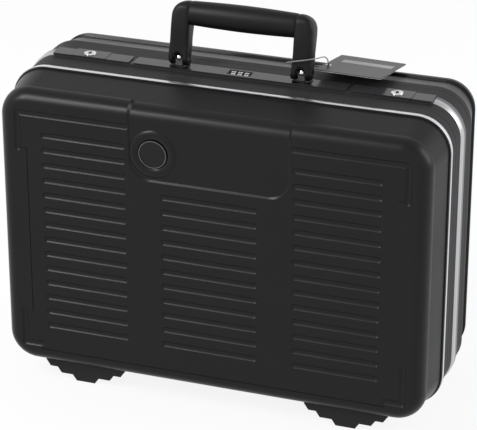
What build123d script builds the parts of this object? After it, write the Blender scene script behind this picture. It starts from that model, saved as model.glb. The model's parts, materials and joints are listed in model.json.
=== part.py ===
"""Hard attache case: two moulded shells held in extruded aluminium frames, hinged along the
bottom, with a console of slide bolts, key locks and number wheels under a folding handle.

Millimetres. X runs along the case, Y from its front face to its back, Z up from the floor.
The origin is under the middle of the closed case. The front half is the lid.
"""
import math
import os

from build123d import *

# ---- the closed case ---------------------------------------------------------------------
case_width = 438.0          # over the moulded rims
case_height = 297.0         # over the moulded rims
case_depth = 182.0          # front face to back face
foot_height = 21.0          # floor to the underside of the rims
rim_corner = 30.0           # rim corners, seen from the front
rim_reach_in = 13.0         # how far the rim's rounding runs across the face
rim_reach_back = 16.0       # and how far it runs into the depth
rim_step = 2.2              # the rim stands this proud of the side band behind it
rim_step_run = 1.6          # depth over which it steps down
wall = 2.6                  # moulded wall
band_flare = 4.0            # the side band ends this far outside the rim line
lid_shell_depth = 51.0      # front face to the lid's frame
base_shell_depth = 47.5     # back face to the base's frame
seat_gap = 0.3              # shell edge to frame edge
flange_depth = 12.0         # shell edge held inside the frame channel

# ---- frames ------------------------------------------------------------------------------
frame_out = 4.6             # frame face outside the rim line
frame_wall = 2.2
split_y = -7.6              # where the two frames meet
split_gap = 0.4
lip_reach = 6.0             # closing lip, inwards from the rim line
lip_wall = 2.0
tongue_length = 4.0         # the base's locating tongue enters the lid
tongue_wall = 1.7
tongue_clearance = 0.3
channel_wall = 1.8
groove_width = 1.0
groove_depth = 0.5
lid_bead_width = 9.5
lid_bead_rise = 1.4
base_trim_front = 0.0       # where the base's bright trim begins
base_trim_width = 16.0
base_trim_rise = 1.8

# ---- front face --------------------------------------------------------------------------
rib_pitch = 16.0
rib_rows = 14
rib_width = 7.0             # a groove at the face; its floor and its ends are round
rib_depth = 2.0
rib_low_z = foot_height + 45.0
outer_rib_from = 84.0
outer_rib_to = case_width / 2 - 44.5
middle_rib_half = 50.5
field_step = 0.6
field_half = case_width / 2 - 30.0
field_corner_half = case_width / 2 - 21.0
field_top_z = foot_height + case_height - 23.0
field_low_z = foot_height + 22.0
field_jog_low_z = foot_height + 58.0
field_jog_high_z = foot_height + case_height - 60.0
field_corner_reach = 17.0
panel_half = 83.0           # outline of the sunk panel where its lip leaves the face
panel_low_z = foot_height + case_height - 78.0
panel_corner = 22.0
panel_depth = 2.0
panel_lip = 2.6             # the lip slopes down over this width
badge_x = -57.0
badge_z = foot_height + case_height - 48.2
badge_well_radius = 15.4
badge_well_depth = 1.4
badge_boss_radius = 24.5    # soft ring-shaped boss round the well
badge_boss_rise = 1.8
badge_ring_radius = 14.3
badge_disc_radius = 13.3
badge_ring_height = 2.6
badge_disc_height = 2.2

# ---- feet --------------------------------------------------------------------------------
foot_x = case_width / 2 - 80.5
foot_set_back = 12.0
foot_length = 34.5
foot_half_widths = (10.0, 26.5, 38.5, 43.0)
foot_tread_rise = 6.2
foot_slant = 4.2
foot_bury = 9.0             # the foot's blank runs this far up before it is cut to the shell

# ---- hinges ------------------------------------------------------------------------------
hinge_x = 57.0
hinge_length = 50.0
hinge_knuckles = 5
knuckle_radius = 3.0
knuckle_gap = 0.3
knuckle_clear = 0.2         # knuckle to frame
hinge_pin_radius = 1.5
pin_fit = 0.05              # running clearance on a radius
leaf_thick = 1.5
leaf_margin = 3.5           # lid leaf to the bright bead
leaf_clear = 0.4

# ---- console -----------------------------------------------------------------------------
console_half = case_width / 2 - 23.5
console_front = -4.2
console_width = 17.0
bed_height = 1.8
bed_sill = 1.0              # the bed's full-width foot, below its shadow groove
bed_inset = 0.7
plate_thick = 1.6
lock_plate_thick = 1.9
lock_plate_extra = 1.4      # the lock plates run this much further back
plate_gap = 0.3
slide_gap = 0.1
bolt_travel = 4.5
end_plate_length = 20.2
lock_plate_length = 36.2
bolt_plate_length = 24.6
stem_inset = 6.2            # bolt plate's inner end to its stem
stem_length = 12.0
stem_width = 8.0
bolt_bar_height = 4.0
bolt_bar_width = 5.0
bolt_bar_drop = 2.6         # below the frame's top wall
keeper_thick = 2.0
keeper_clear = 1.4          # drawn bolt to keeper
keeper_window_clear = 0.4
keeper_rise = 1.2           # keeper top below the frame's top wall
keeper_base_length = 16.0
key_inset = 16.5            # lock plate's outer end to the key
key_barrel_radius = 5.0
key_head_radius = 6.2
key_head_height = 1.0
key_slot_length = 6.0
key_slot_width = 1.4
key_slot_depth = 0.7
cam_thick = 1.6
cam_length = 8.0
cam_width = 7.0
dial_count = 3
dial_pitch = 6.8
dial_width = 5.6
dial_radius = 5.4
dial_stand = 0.9            # the wheels stand this proud of the cover
dial_notches = 10
dial_notch_radius = 0.9
axle_radius = 1.2
cradle_end_wall = 2.0
cradle_side_wall = 0.8
cradle_clear = 0.5

# ---- handle ------------------------------------------------------------------------------
pivot_half = 63.3
pivot_height = 9.2          # above the console cover
handle_lean = 15.0          # the handle rests leaning back against its stop
leg_width = 21.4
leg_thick = 15.4
leg_taper = 1.2             # each leg moves this far inwards by its shoulder
shoulder_height = 56.5      # pivot to the top of the shoulders
shoulder_thick = 22.0
shoulder_radius = 15.0
opening_height = 32.5       # pivot to the underside of the grip
opening_radius = 5.0
leg_edge_radius = 3.6
fork_clear = 0.4
ball_radius = 4.2
neck_width = 6.0
lug_base_length = 19.0
lug_base_width = 13.0
lug_base_thick = 0.8
handle_pin_radius = 1.6
grip_half = 53.5
grip_end_height = 24.0
grip_mid_height = 26.6
grip_end_depth = 22.6
grip_mid_depth = 27.0
core_width = 14.0
core_height = 12.0
core_fit = 0.1

# ---- swing tag ---------------------------------------------------------------------------
tag_width = 67.6
tag_length = 81.6
tag_thick = 1.0
tag_yaw = -2.4
tag_tilt = -9.9
tag_beside = 10.1           # its near left corner, outwards of the handle's pivot
tag_behind = 6.7            # behind the pivots
tag_above = 1.7             # and above them
tag_eye_inset = 5.2
tag_eye_up = 26.5
tag_eye_radius = 2.8
tag_eye_bore = 1.3
tag_eye_lip = 0.4
tag_hole_radius = 1.8
string_radius = 0.6
string_stand = 5.5          # its centre line off the sides and back of the leg it goes round
string_front_stand = 4.4    # and off the leg's front, which folds down over the console
string_slack = 20.0         # the roundest its free folds lie
string_high = 16.2          # above the pivots, at the leg's front outer corner
string_inside = 8.8         # at its front inner corner
string_inside_back = 5.0    # at its back inner corner
string_back = 6.5           # at its back outer corner

# ---- heights and stations that follow ----------------------------------------------------
front_face = -case_depth / 2
back_face = case_depth / 2
mid_z = foot_height + case_height / 2
lid_frame_front = front_face + lid_shell_depth
base_frame_back = back_face - base_shell_depth
lid_edge = split_y - split_gap / 2
base_edge = split_y + split_gap / 2
frame_top = foot_height + case_height + frame_out
frame_bottom = foot_height - frame_out
frame_ceiling = frame_top - frame_wall
bed_top = frame_top + bed_height
cover_top = bed_top + plate_thick
lock_top = bed_top + lock_plate_thick
console_mid = console_front + console_width / 2
console_back = console_front + console_width
lock_plate_to = console_half - end_plate_length
bolt_plate_to = lock_plate_to - lock_plate_length
bolt_plate_from = bolt_plate_to - bolt_plate_length
cover_half = bolt_plate_from - bolt_travel - plate_gap
stem_from = bolt_plate_from + stem_inset
stem_to = stem_from + stem_length
key_x = lock_plate_to - key_inset
leaf_reach = split_y - (lid_frame_front + seat_gap + lid_bead_width) - leaf_margin
pivot_z = cover_top + pivot_height
hinge_z = frame_bottom - knuckle_clear - knuckle_radius

os.makedirs("parts", exist_ok=True)


# ---- helpers -----------------------------------------------------------------------------
def block(x0, x1, y0, y1, z0, z1):
    """A box from its limits on each axis."""
    return Pos((x0 + x1) / 2, (y0 + y1) / 2, (z0 + z1) / 2) * Box(
        abs(x1 - x0), abs(y1 - y0), abs(z1 - z0)
    )


def rod(radius, x0, x1, y, z):
    """A round bar along X."""
    return Pos((x0 + x1) / 2, y, z) * Rot(0, 90, 0) * Cylinder(radius, abs(x1 - x0))


def post(radius, x, y, z0, z1):
    """A round bar along Z."""
    return Pos(x, y, (z0 + z1) / 2) * Cylinder(radius, abs(z1 - z0))


def polygon(points):
    return make_face(Polyline(*points, close=True))


def prism_along_y(outline, y0, y1):
    """Carry an outline drawn as (x, z) from y0 to y1."""
    face = Plane((0, y1, 0), x_dir=(1, 0, 0), z_dir=(0, -1, 0)) * outline
    return extrude(face, y1 - y0)


def prism_along_x(outline, x0, x1):
    """Carry an outline drawn as (y, z) from x0 to x1."""
    face = Plane((x0, 0, 0), x_dir=(0, 1, 0), z_dir=(1, 0, 0)) * outline
    return extrude(face, x1 - x0)


def mirrored(shape):
    return mirror(shape, about=Plane.YZ)


def carry_round(section):
    """Carry a section round the rim line. In the section x runs outwards from that line and
    y is the case's depth."""
    across = case_width / 2 - rim_corner
    up = case_height / 2 - rim_corner
    start = Pos(case_width / 2, 0, 0) * section
    bend_axis = Axis((across, 0, up), (0, -1, 0))
    side = extrude(start, up, dir=(0, 0, 1))
    bend = revolve(Pos(0, 0, up) * start, bend_axis, 90)
    turned = (Pos(0, 0, up) * start).rotate(bend_axis, 90)
    top = extrude(turned, across, dir=(-1, 0, 0))
    half = side + bend + top
    half += mirror(half, about=Plane.XY)
    return Pos(0, 0, mid_z) * (half + mirrored(half))


def rounded_plate(inset, y0, y1):
    """A flat plate that fills the case's outline inside the rim line."""
    outline = Pos(0, mid_z) * RectangleRounded(
        case_width - 2 * inset, case_height - 2 * inset, rim_corner - inset
    )
    return prism_along_y(outline, y0, y1)


def save(shapes):
    for name, shape in shapes.items():
        shape.label = name
        export_step(shape, f"parts/{name}.step")


# ---- shells ------------------------------------------------------------------------------
def shell_section(depth, side_skin, face_skin):
    """Half of a shell's section, filled to its core: skins of 0 give the outside, larger
    ones the surface that far inside its sides and its face."""
    core = -(rim_reach_in + 4.0)
    step_y = rim_reach_back + rim_step_run
    flange_out = frame_out - frame_wall
    rim_in = side_skin + rim_step if side_skin else 0
    rounding = EllipticalCenterArc(
        (-rim_reach_in, rim_reach_back),
        rim_reach_in - rim_in,
        rim_reach_back - face_skin,
        start_angle=-90,
        arc_size=90,
    )
    edge = Polyline(
        rounding @ 1,
        (-rim_step - side_skin, step_y),
        (band_flare - side_skin, depth),
        (flange_out - side_skin, depth),
        (flange_out - side_skin, depth + flange_depth),
        (core, depth + flange_depth),
        (core, face_skin),
        rounding @ 0,
    )
    return make_face([rounding, edge])


def shell_blank(depth, side_skin=0.0, face_skin=0.0):
    """A shell as a filled body standing at y = 0, with its open side at larger y."""
    body = carry_round(shell_section(depth, side_skin, face_skin))
    return body + rounded_plate(rim_reach_in + 4.0, face_skin, depth + flange_depth)


def scoop(length, depth):
    """A cutter for a straight groove along X, with a round floor and soft round ends."""
    radius = (rib_width**2 / 4 + depth**2) / (2 * depth)
    reach = length / 2 - rib_width / 2
    outline = [
        Line((-reach, radius), (reach, radius)),
        CenterArc((reach, 0), radius, 0, 90),
        CenterArc((-reach, 0), radius, 90, 90),
        Line((-reach - radius, 0), (reach + radius, 0)),
    ]
    return Pos(0, depth - radius, 0) * revolve(make_face(outline), Axis.X)


def ribs():
    """Cutters for the outer and the middle grooves, and where the outer ones stand."""
    outer = scoop(outer_rib_to - outer_rib_from, rib_depth)
    middle = scoop(2 * middle_rib_half, rib_depth)
    return outer, middle, (outer_rib_to + outer_rib_from) / 2


def cut_ribs(body, middle_rows):
    outer, middle, outer_x = ribs()
    cutters = []
    for row in range(rib_rows):
        z = rib_low_z + row * rib_pitch
        cutters += [Pos(outer_x, 0, z) * outer, Pos(-outer_x, 0, z) * outer]
        if row < middle_rows:
            cutters.append(Pos(0, 0, z) * middle)
    return body - cutters


def field_recess():
    """The shallow sunk field, wider at its four corners."""
    low = foot_height + rim_reach_back
    half = [
        (field_corner_half - field_corner_reach, low),
        (field_corner_half - field_corner_reach, field_low_z),
        (field_corner_half, field_low_z),
        (field_corner_half, field_jog_low_z),
        (field_half, field_jog_low_z),
        (field_half, field_jog_high_z),
        (field_corner_half, field_jog_high_z),
        (field_corner_half, field_top_z),
    ]
    other = [(-x, z) for x, z in reversed(half)]
    return prism_along_y(polygon(half + other), -1.0, field_step)


def corner_grooves():
    """The grooves that run round the field's corners."""
    depth = field_step + rib_depth * 0.6
    spare = rib_width
    top_length = field_corner_half - outer_rib_from
    high_arm = field_top_z - field_jog_high_z
    low_arm = field_jog_low_z - field_low_z
    top = scoop(top_length + spare, depth)
    high = Rot(0, 90, 0) * scoop(high_arm + spare, depth)
    low = Rot(0, 90, 0) * scoop(low_arm + spare, depth)
    foot = scoop(field_corner_reach + spare, depth)
    cutters = []
    for side in (-1, 1):
        cutters += [
            Pos(side * (outer_rib_from + top_length / 2), 0, field_top_z) * top,
            Pos(side * field_corner_half, 0, field_jog_high_z + high_arm / 2) * high,
            Pos(side * field_corner_half, 0, field_low_z + low_arm / 2) * low,
            Pos(side * (field_corner_half - field_corner_reach / 2), 0, field_low_z) * foot,
        ]
    return cutters


def panel_cut():
    """The sunk panel at the top middle. Its lip slopes, and over the rim's rounding the
    panel repeats the shell's shape lower down."""
    rim_top = foot_height + case_height
    turn_z = rim_top - rim_reach_in - 1.0
    crease = rim_reach_back + rim_step_run
    high_z = turn_z + 40.0
    outline = Pos(0, (panel_low_z + high_z) / 2) * Rectangle(
        2 * panel_half, high_z - panel_low_z
    )
    outline = fillet(outline.vertices().sort_by(Axis.Y)[:2], panel_corner)
    face = Plane((0, 0, 0), x_dir=(1, 0, 0), z_dir=(0, 1, 0)) * mirror(outline, about=Plane.XZ)
    slope = math.degrees(math.atan(panel_lip / panel_depth))
    flat = extrude(face, panel_depth, taper=slope)
    flat &= block(-case_width, case_width, -5, panel_depth, 0, turn_z)
    floor_half = panel_half - panel_lip
    side = Plane((panel_half, 0, rim_top), x_dir=(0, 0, 1), z_dir=(-1, 0, 0))
    skin = side * shell_section(lid_shell_depth, 0, 0)
    fall = Vector(-panel_lip, panel_depth, -panel_depth)
    ramp = extrude(skin, fall.length, dir=fall.normalized())
    below = Pos(-panel_lip, panel_depth, -panel_depth) * skin
    below = extrude(below, 2 * floor_half, dir=(-1, 0, 0))
    over = block(-panel_half, panel_half, -1.0, crease, turn_z, rim_top + 10)
    return [flat, over - below - ramp - mirrored(ramp)]


def badge_boss():
    """The soft ring of material that stands round the badge's well."""
    inner, outer = badge_well_radius, badge_boss_radius
    crest = inner + (outer - inner) * 0.42
    bury = -1.0
    rise = ThreePointArc((inner, 0.3), (crest, badge_boss_rise), (outer, 0))
    foot_line = Polyline((outer, 0), (outer, bury), (inner, bury), (inner, 0.3))
    ring = revolve(make_face([rise, foot_line]), Axis.Y)
    return Pos(badge_x, panel_depth, badge_z) * Rot(180, 0, 0) * ring


def front_shell():
    outer = shell_blank(lid_shell_depth)
    body = cut_ribs(outer - field_recess(), rib_rows - 3) - corner_grooves()
    body -= panel_cut()
    body += badge_boss()
    well = prism_along_y(
        Pos(badge_x, badge_z) * Circle(badge_well_radius), -1.0, panel_depth + badge_well_depth
    )
    body -= well
    lining = prism_along_y(
        Pos(badge_x, badge_z) * Circle(badge_well_radius + wall),
        wall,
        panel_depth + badge_well_depth + wall,
    )
    hollow = shell_blank(lid_shell_depth, wall, wall + panel_depth)
    return Pos(0, front_face, 0) * ((body - hollow) + (lining & outer) - well)


def back_shell():
    outer = shell_blank(base_shell_depth)
    body = cut_ribs(outer - field_recess(), rib_rows) - corner_grooves()
    body -= shell_blank(base_shell_depth, wall, wall + panel_depth)
    return mirror(Pos(0, front_face, 0) * body, about=Plane.XZ)


def foot(shell_depth):
    """One stepped foot of the lid, at +X, cut to a shell of this depth to seat on it."""
    z = 0.0
    half = [(foot_half_widths[0], 0.0)]
    for narrow, wide in zip(foot_half_widths, foot_half_widths[1:]):
        half += [(narrow + foot_slant, z + foot_tread_rise), (wide, z + foot_tread_rise)]
        z += foot_tread_rise
    half.append((foot_half_widths[-1], foot_height + foot_bury))
    other = [(-x, z) for x, z in reversed(half)]
    start = front_face + foot_set_back
    blank = Pos(foot_x, 0, 0) * prism_along_y(polygon(half + other), start, start + foot_length)
    return blank - Pos(0, front_face, 0) * shell_blank(shell_depth)


# ---- frames ------------------------------------------------------------------------------
def groove_at(y):
    return [
        (frame_out, y - groove_width / 2),
        (frame_out - groove_depth, y),
        (frame_out, y + groove_width / 2),
    ]


def channel_points(edge, sense):
    """The channel that grips a shell's flange; sense points from the shell to the split."""
    inner = frame_out - frame_wall
    hold = inner - wall
    web = edge + sense * (flange_depth + seat_gap)
    return [
        (inner, web + sense * channel_wall),
        (hold - channel_wall, web + sense * channel_wall),
        (hold - channel_wall, edge + sense * flange_depth / 3),
        (hold, edge + sense * flange_depth / 3),
        (hold, web),
        (inner, web),
    ]


def lid_frame():
    front = lid_frame_front + seat_gap
    inner = frame_out - frame_wall
    points = [(inner, front), (frame_out, front)]
    points += groove_at(lid_edge - 8.0)
    points += [
        (frame_out, lid_edge),
        (-lip_reach, lid_edge),
        (-lip_reach, lid_edge - lip_wall),
        (inner, lid_edge - lip_wall),
    ]
    points += channel_points(lid_frame_front, 1)
    return carry_round(polygon(points))


def base_frame():
    back = base_frame_back - seat_gap
    inner = frame_out - frame_wall
    tongue_out = -lip_reach - tongue_clearance
    points = [(inner, back), (frame_out, back)]
    points += reversed(groove_at(base_frame_back - 9.0))
    points += [
        (frame_out, base_edge),
        (tongue_out, base_edge),
        (tongue_out, base_edge - tongue_length),
        (tongue_out - tongue_wall, base_edge - tongue_length),
        (tongue_out - tongue_wall, base_edge + lip_wall),
        (inner, base_edge + lip_wall),
    ]
    points += channel_points(base_frame_back, -1)
    return carry_round(polygon(points))


def lid_bead():
    """The bright half-round bead round the lid's frame, next to the shell."""
    y0 = lid_frame_front + seat_gap
    y1 = y0 + lid_bead_width
    low = frame_out + lid_bead_rise * 0.35
    arc = ThreePointArc((low, y0), (frame_out + lid_bead_rise, (y0 + y1) / 2), (low, y1))
    face = make_face([arc, Polyline((low, y1), (frame_out, y1), (frame_out, y0), (low, y0))])
    return carry_round(face)


def base_trim():
    """The wider bright trim round the base's frame, broken by the console and hinges."""
    y0 = base_trim_front
    y1 = y0 + base_trim_width
    high = frame_out + base_trim_rise
    face = polygon(
        [
            (frame_out, y0),
            (frame_out + 0.4, y0),
            (high, y0 + base_trim_width * 0.3),
            (high, y1 - 2.0),
            (high - 0.9, y1),
            (frame_out, y1),
        ]
    )
    clear = console_half + plate_gap
    gaps = [block(-clear, clear, y0 - 1, y1 + 1, frame_top - 8, frame_top + 8)]
    reach = hinge_length / 2 + plate_gap
    for side in (-1, 1):
        x = side * hinge_x
        gaps.append(block(x - reach, x + reach, y0 - 1, y1 + 1, 0, frame_bottom + 8))
    return carry_round(face) - gaps


# ---- console -----------------------------------------------------------------------------
def console_bar(x0, x1, z0, z1, back_extra=0.0):
    return block(x0, x1, console_front, console_back + back_extra, z0, z1)


def soften_ends(plate, radius):
    return fillet(plate.edges().filter_by(Axis.Z), radius)


dial_z = cover_top + dial_stand - dial_radius
dial_span = (dial_count - 1) * dial_pitch / 2 + dial_width / 2
dial_well_half = dial_span + cradle_clear
dial_well_y = dial_radius + cradle_clear
bolt_low = frame_ceiling - bolt_bar_drop - bolt_bar_height
bolt_high = frame_ceiling - bolt_bar_drop
key_seat = lock_top + slide_gap
key_bottom = bolt_low - slide_gap
keeper_far = stem_from - 12.0                       # the drawn bolt's nose
keeper_x = keeper_far - keeper_clear - keeper_thick / 2


def cradle_box(z0, z1):
    half_x = dial_well_half + cradle_end_wall
    half_y = dial_well_y + cradle_side_wall
    return block(-half_x, half_x, console_mid - half_y, console_mid + half_y, z0, z1)


def console_openings():
    """Cuts through the bed and the frame's top wall: wheels, bolt stems and key barrels."""
    low, high = frame_ceiling - 0.5, cover_top + 5
    cuts = [cradle_box(low, high)]
    for side in (-1, 1):
        near = stem_from - bolt_travel - plate_gap
        far = stem_to + plate_gap
        half = stem_width / 2 + plate_gap
        cuts.append(
            block(side * near, side * far, console_mid - half, console_mid + half, low, high)
        )
        barrel = key_barrel_radius + pin_fit
        cuts.append(post(barrel, side * key_x, console_mid, low, high))
    return cuts


def keeper_slots():
    """Slots in the frames' closing lips for the lid's keepers."""
    half = keeper_thick / 2 + keeper_window_clear
    low = frame_ceiling - lip_reach - frame_out + frame_wall + keeper_window_clear
    cuts = []
    for side in (-1, 1):
        cuts.append(
            block(
                side * keeper_x - half,
                side * keeper_x + half,
                lid_edge - lip_wall - 0.5,
                base_edge + lip_wall + 0.5,
                low - keeper_window_clear,
                frame_ceiling - keeper_window_clear,
            )
        )
    return cuts


def console_bed():
    sill = console_bar(-console_half, console_half, frame_top, frame_top + bed_sill)
    upper = block(
        -console_half + bed_inset,
        console_half - bed_inset,
        console_front + bed_inset,
        console_back - bed_inset,
        frame_top + bed_sill,
        bed_top,
    )
    return soften_ends(sill, 1.2) + upper - console_openings()


def console_cover():
    plate = console_bar(-cover_half, cover_half, bed_top, cover_top)
    plate = soften_ends(plate, 0.8)
    chord = math.sqrt(dial_radius**2 - (dial_radius - dial_stand - plate_thick) ** 2)
    half_y = chord + cradle_clear
    window = block(
        -dial_well_half,
        dial_well_half,
        console_mid - half_y,
        console_mid + half_y,
        bed_top - 1,
        cover_top + 1,
    )
    return plate - fillet(window.edges().filter_by(Axis.Z), 0.8)


def lock_plate(side):
    x0, x1 = bolt_plate_to + plate_gap, lock_plate_to
    plate = console_bar(x0, x1, bed_top, lock_top, lock_plate_extra)
    plate = soften_ends(plate, 0.8) - post(
        key_barrel_radius + pin_fit, key_x, console_mid, bed_top - 1, lock_top + 1
    )
    return plate if side > 0 else mirrored(plate)


def end_plate(side):
    plate = console_bar(lock_plate_to + plate_gap, console_half, bed_top, cover_top)
    plate = soften_ends(plate, 0.8)
    return plate if side > 0 else mirrored(plate)


def slide_plate(side):
    """The finger plate that throws a bolt when it is pushed towards the middle."""
    plate = console_bar(bolt_plate_from, bolt_plate_to, bed_top + slide_gap, cover_top)
    plate = soften_ends(plate, 0.8)
    stem = block(
        stem_from,
        stem_to,
        console_mid - stem_width / 2,
        console_mid + stem_width / 2,
        bolt_high,
        bed_top + slide_gap,
    )
    return plate + stem if side > 0 else mirrored(plate + stem)


def bolt_bar(side):
    bar = block(
        keeper_far,
        stem_to + 10.0,
        console_mid - bolt_bar_width / 2,
        console_mid + bolt_bar_width / 2,
        bolt_low,
        bolt_high,
    )
    nose = bar.faces().sort_by(Axis.X)[0]
    bar = chamfer(nose.edges().filter_by(Axis.Y), 0.8)
    return bar if side > 0 else mirrored(bar)


def keeper(side):
    """The lid's strike: a riveted base behind the lip and an eye that the bolt enters."""
    high = frame_ceiling - keeper_rise
    low = frame_ceiling - lip_reach - frame_out + frame_wall + keeper_window_clear
    back = console_mid + bolt_bar_width / 2 + keeper_window_clear + 2.0
    eye = block(
        keeper_x - keeper_thick / 2,
        keeper_x + keeper_thick / 2,
        lid_edge - lip_wall - keeper_thick,
        back,
        low,
        high,
    )
    reach = keeper_window_clear
    window = block(
        keeper_x - 5,
        keeper_x + 5,
        console_mid - bolt_bar_width / 2 - reach,
        console_mid + bolt_bar_width / 2 + reach,
        bolt_low - reach,
        bolt_high + reach,
    )
    base = block(
        keeper_x - keeper_base_length / 2,
        keeper_x + keeper_base_length / 2,
        lid_edge - lip_wall - keeper_thick,
        lid_edge - lip_wall,
        low,
        high,
    )
    strike = eye - window + base
    return strike if side > 0 else mirrored(strike)


def key_cylinder(side):
    """The turning barrel of a key lock, with its keyway across the head."""
    x = side * key_x
    barrel = post(key_barrel_radius, x, console_mid, key_bottom, key_seat)
    head = post(key_head_radius, x, console_mid, key_seat, key_seat + key_head_height)
    head = fillet(head.faces().sort_by(Axis.Z)[-1].edges(), 0.6)
    keyway = Pos(x, console_mid, key_seat + key_head_height) * Box(
        key_slot_width, key_slot_length, 2 * key_slot_depth
    )
    return barrel + head - keyway


def lock_cam(side):
    x = side * key_x
    hub = post(key_barrel_radius, x, console_mid, key_bottom - cam_thick, key_bottom)
    tab = block(
        x - cam_width / 2,
        x + cam_width / 2,
        console_mid,
        console_mid + cam_length,
        key_bottom - cam_thick,
        key_bottom,
    )
    return hub + tab


def dial(index):
    """One number wheel, notched for the thumb."""
    x = (index - (dial_count - 1) / 2) * dial_pitch
    wheel = rod(dial_radius, x - dial_width / 2, x + dial_width / 2, console_mid, dial_z)
    rim = wheel.edges().filter_by(GeomType.CIRCLE)
    wheel = chamfer(rim, 0.5)
    notch = rod(dial_notch_radius, x - dial_width, x + dial_width, console_mid, dial_z)
    cutters = []
    for step in range(dial_notches):
        angle = math.radians(360 / dial_notches * (step + 0.5))
        reach = dial_radius + dial_notch_radius * 0.35
        cutters.append(Pos(0, reach * math.sin(angle), reach * math.cos(angle)) * notch)
    bore = rod(axle_radius + pin_fit, x - dial_width, x + dial_width, console_mid, dial_z)
    return wheel - cutters - bore


def dial_cradle():
    """The open-topped box, let in through the bed and the frame, that carries the axle."""
    low = dial_z - dial_radius - cradle_clear
    outer = cradle_box(low - cradle_end_wall, bed_top)
    inner = block(
        -dial_well_half,
        dial_well_half,
        console_mid - dial_well_y,
        console_mid + dial_well_y,
        low,
        bed_top + 1,
    )
    far = dial_well_half + cradle_end_wall + 1
    return outer - inner - rod(axle_radius, -far, far, console_mid, dial_z)


def dial_axle():
    far = dial_well_half + cradle_end_wall
    return rod(axle_radius, -far, far, console_mid, dial_z)


# ---- handle ------------------------------------------------------------------------------
def lean(shape):
    """Put something drawn upright about the pivot at the origin into its resting lean."""
    return Pos(0, console_mid, pivot_z) * Rot(-handle_lean, 0, 0) * shape


def bow_outline():
    outer_low = pivot_half + leg_width / 2
    inner_low = pivot_half - leg_width / 2
    bottom = -leg_thick / 2
    points = [
        (outer_low, bottom),
        (outer_low - leg_taper, shoulder_height),
        (-outer_low + leg_taper, shoulder_height),
        (-outer_low, bottom),
        (-inner_low, bottom),
        (-inner_low + leg_taper, opening_height),
        (inner_low - leg_taper, opening_height),
        (inner_low, bottom),
    ]
    face = polygon(points)
    corners = face.vertices()
    top = corners.filter_by_position(Axis.Y, shoulder_height - 1, shoulder_height + 1)
    face = fillet(top, shoulder_radius)
    inside = face.vertices().filter_by_position(Axis.Y, opening_height - 0.5, opening_height + 0.5)
    return fillet(inside, opening_radius)


def leg_side():
    """The legs seen from the end: a round foot about the pivot that widens upwards."""
    low = leg_thick / 2
    high = shoulder_thick / 2
    crest = high * 0.55
    foot_arc = ThreePointArc((low, 0), (0, -low), (-low, 0))
    top_arc = ThreePointArc(
        (-high, shoulder_height - crest), (0, shoulder_height + 0.6), (high, shoulder_height - crest)
    )
    waist = shoulder_height - crest - 12.0
    left = Spline(
        (-low, 0), (-high, waist), tangents=[(0, 1), (0, 1)]
    )
    right = Spline((high, waist), (low, 0), tangents=[(0, -1), (0, -1)])
    return make_face(
        [
            foot_arc,
            left,
            Line((-high, waist), (-high, shoulder_height - crest)),
            top_arc,
            Line((high, shoulder_height - crest), (high, waist)),
            right,
        ]
    )


def handle_bow():
    """Legs and shoulders in one moulding, with the core bar that runs through the grip."""
    reach = pivot_half + leg_width
    body = prism_along_y(bow_outline(), -shoulder_thick, shoulder_thick)
    body &= prism_along_x(leg_side(), -reach, reach)
    body -= block(
        -grip_half, grip_half, -shoulder_thick, shoulder_thick, 0, shoulder_height + 5
    )
    body = fillet(bow_soft_edges(body), leg_edge_radius)
    core_z = (opening_height + shoulder_height) / 2
    core = Pos(0, 0, core_z) * Box(2 * grip_half, core_width, core_height)
    body += core
    for side in (-1, 1):
        x = side * pivot_half
        half = ball_radius + fork_clear
        slot = block(x - half, x + half, -leg_thick, leg_thick, -leg_thick, 0)
        top = Pos(x, 0, 0) * Rot(90, 0, 0) * Cylinder(half, 2 * leg_thick)
        body -= slot + top
        body -= rod(handle_pin_radius, x - leg_width, x + leg_width, 0, 0)
    return lean(body)


def bow_soft_edges(body):
    """The long outer edges of both legs, away from the seams with the grip."""
    edges = []
    for edge in body.edges():
        centre = edge.center()
        box = edge.bounding_box()
        flat_foot = box.max.Z < -leg_thick / 2 + 1.5
        at_seam = abs(box.min.X - box.max.X) < 0.01 and abs(abs(centre.X) - grip_half) < 0.01
        across = box.size.Y > 1.0
        if not (flat_foot or at_seam or across):
            edges.append(edge)
    return edges


def handle_grip():
    """The barrel-shaped sleeve, fullest at its middle."""
    core_z = (opening_height + shoulder_height) / 2
    sections = []
    for share in (-1.0, -0.5, 0.0, 0.5, 1.0):
        fullness = math.cos(share * math.pi / 2)
        height = grip_end_height + (grip_mid_height - grip_end_height) * fullness
        depth = grip_end_depth + (grip_mid_depth - grip_end_depth) * fullness
        plane = Plane((share * grip_half, 0, core_z), x_dir=(0, 1, 0), z_dir=(1, 0, 0))
        sections.append(plane * Ellipse(depth / 2, height / 2))
    sleeve = loft(sections)
    bore = Pos(0, 0, core_z) * Box(
        2 * grip_half + 2, core_width + 2 * core_fit, core_height + 2 * core_fit
    )
    return lean(sleeve - bore)


def handle_lug(side):
    """A fixed post with a ball head between the prongs of a leg."""
    x = side * pivot_half
    base = Pos(x, console_mid, cover_top + lug_base_thick / 2) * Box(
        lug_base_length, lug_base_width, lug_base_thick
    )
    base = fillet(base.edges().filter_by(Axis.Z), 3.0)
    neck = Pos(x, console_mid, (cover_top + pivot_z) / 2) * Box(
        neck_width, neck_width, pivot_z - cover_top
    )
    ball = Pos(x, console_mid, pivot_z) * Sphere(ball_radius)
    bore = rod(handle_pin_radius + pin_fit, x - 9, x + 9, console_mid, pivot_z)
    return base + neck + ball - bore


def handle_pin(side):
    x = side * pivot_half
    half = leg_width / 2 - leg_edge_radius * 0.4
    return rod(handle_pin_radius, x - half, x + half, console_mid, pivot_z)


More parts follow.
